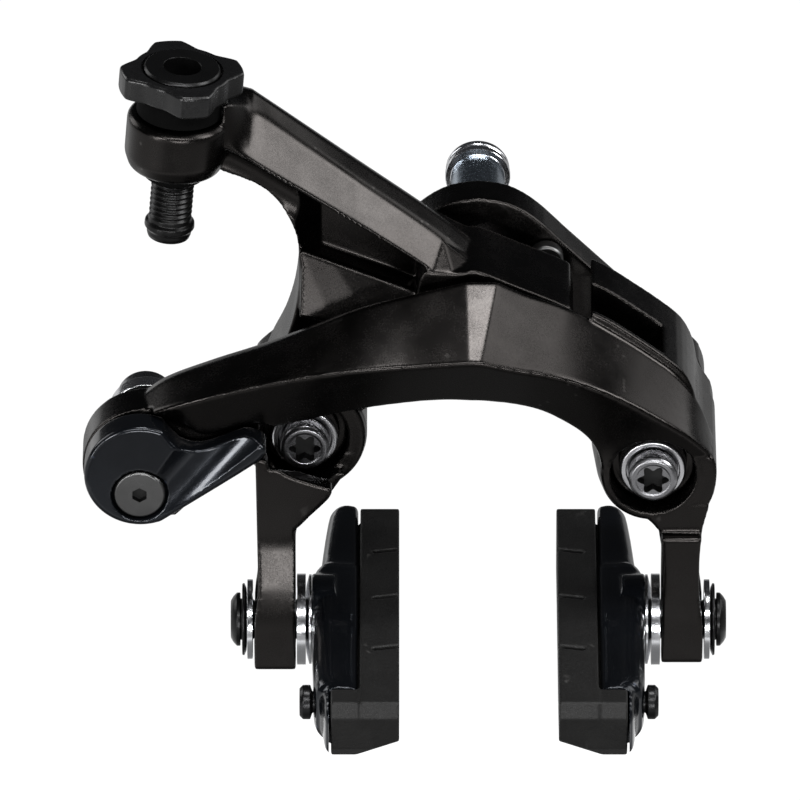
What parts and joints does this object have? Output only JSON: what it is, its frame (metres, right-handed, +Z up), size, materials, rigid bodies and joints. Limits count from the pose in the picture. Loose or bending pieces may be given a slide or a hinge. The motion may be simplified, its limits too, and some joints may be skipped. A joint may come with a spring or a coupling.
{
  "type": "dual-pivot bicycle rim brake caliper",
  "caption": "Dual-pivot bicycle rim brake caliper with arched arms on a rear booster bracket, cable adjuster, quick-release lever and a cartridge brake shoe on each arm.",
  "frame": {"origin": "on the rear face of the serrated washer that sits against the bicycle frame, 5.8 mm above the centre bolt's axis, where the frame_face mount touches", "axes": "+Z up, -Y out of the front of the caliper towards the viewer, +X to the viewer's right, the side of the front arm's shoe"},
  "size_m": [0.09, 0.0832, 0.0908],
  "materials": {
    "dark_anodised": "dark anodised, satin to gloss",
    "gloss_blue_black": "gloss blue-black",
    "bright_steel": "bright",
    "steel": "turned steel",
    "black_steel": "black oxide",
    "black_plastic": "moulded satin black",
    "seal_rubber": "smooth",
    "pad_rubber": "matte, lightly textured"
  },
  "bodies": {
    "frame_side": {"booster_bracket": "dark_anodised", "centre_bolt": "steel", "recessed_nut": "bright_steel", "serrated_washer": "steel", "left_pivot_bolt": "steel", "right_pivot_bolt": "steel", "left_pivot_collar": "bright_steel", "right_pivot_collar": "bright_steel", "return_spring": "steel"},
    "centring": {"centring_screw": "steel"},
    "rear_side_arm": {"rear_arm": "dark_anodised", "rear_arm_bush": "steel", "adjuster_seal": "seal_rubber"},
    "front_side_arm": {"front_arm": "dark_anodised", "front_arm_bush": "steel", "sync_pin": "steel", "cable_clamp_bolt": "steel", "cable_clamp_plate": "bright_steel"},
    "roller": {"sync_roller": "steel"},
    "quick_release": {"quick_release_lever": "gloss_blue_black", "quick_release_screw": "steel"},
    "knob": {"adjuster_knob": "black_plastic"},
    "barrel": {"adjuster_barrel": "black_steel"},
    "left_washers": {"left_inner_concave_washer": "bright_steel", "left_outer_concave_washer": "bright_steel"},
    "left_shoe_stud": {"left_inner_convex_washer": "bright_steel", "left_outer_convex_washer": "black_steel", "left_shoe_bolt": "black_steel"},
    "left_shoe": {"left_shoe_holder": "gloss_blue_black", "left_brake_pad": "pad_rubber", "left_pad_screw": "black_steel"},
    "right_washers": {"right_inner_concave_washer": "bright_steel", "right_outer_concave_washer": "bright_steel"},
    "right_shoe_stud": {"right_inner_convex_washer": "bright_steel", "right_outer_convex_washer": "black_steel", "right_shoe_bolt": "black_steel"},
    "right_shoe": {"right_shoe_holder": "gloss_blue_black", "right_brake_pad": "pad_rubber", "right_pad_screw": "black_steel"}
  },
  "joints": [
    {"name": "front_arm_hinge", "type": "hinge", "parent": "frame_side", "child": "front_side_arm", "pos_m": [0.0243, -0.02, -0.0253], "axis": [0, 1, 0], "range_deg": [-3, 9]},
    {"name": "rear_arm_hinge", "type": "hinge", "parent": "frame_side", "child": "rear_side_arm", "pos_m": [-0.0243, -0.016, -0.0253], "axis": [0, 1, 0], "range_deg": [-9.5, 3.5], "deforming": ["return_spring"]},
    {"name": "centring_screw_turn", "type": "hinge", "parent": "frame_side", "child": "centring", "pos_m": [0.0095, -0.008, -0.0043], "axis": [0, -1, 0], "range_deg": [-180, 180]},
    {"name": "sync_roller_turn", "type": "hinge", "parent": "front_side_arm", "child": "roller", "pos_m": [0, -0.018, -0.0073], "axis": [0, 1, 0], "range_deg": [-45, 45]},
    {"name": "quick_release_hinge", "type": "hinge", "parent": "front_side_arm", "child": "quick_release", "pos_m": [-0.0473, -0.035, -0.0261], "axis": [0, 1, 0], "range_deg": [0, 90]},
    {"name": "adjuster_knob_turn", "type": "hinge", "parent": "rear_side_arm", "child": "knob", "pos_m": [-0.0416, -0.022, 0.0272], "axis": [0.0785, 0, 0.9969], "range_deg": [0, 1440]},
    {"name": "adjuster_barrel_slide", "type": "slide", "parent": "rear_side_arm", "child": "barrel", "axis": [0.0785, 0, 0.9969], "range_m": [0, 0.004]},
    {"name": "left_shoe_height", "type": "slide", "parent": "rear_side_arm", "child": "left_washers", "axis": [0, 0, 1], "range_m": [-0.0008, 0.006]},
    {"name": "left_shoe_toe_in", "type": "hinge", "parent": "left_washers", "child": "left_shoe_stud", "pos_m": [-0.0283, -0.0293, -0.0508], "axis": [0, 0, 1], "range_deg": [-3, 3]},
    {"name": "left_shoe_pitch", "type": "hinge", "parent": "left_shoe_stud", "child": "left_shoe", "pos_m": [-0.02, -0.0293, -0.0508], "axis": [1, 0, 0], "range_deg": [-10, 10]},
    {"name": "right_shoe_height", "type": "slide", "parent": "front_side_arm", "child": "right_washers", "axis": [0, 0, 1], "range_m": [-0.0008, 0.006]},
    {"name": "right_shoe_toe_in", "type": "hinge", "parent": "right_washers", "child": "right_shoe_stud", "pos_m": [0.0283, -0.0293, -0.0508], "axis": [0, 0, 1], "range_deg": [-3, 3]},
    {"name": "right_shoe_pitch", "type": "hinge", "parent": "right_shoe_stud", "child": "right_shoe", "pos_m": [0.02, -0.0293, -0.0508], "axis": [1, 0, 0], "range_deg": [-10, 10]}
  ],
  "couplings": [
    {"joint": "rear_arm_hinge", "follows": "front_arm_hinge", "ratio": -1},
    {"joint": "adjuster_knob_turn", "follows": "adjuster_barrel_slide", "rad_per_m": 6283.2}
  ]
}
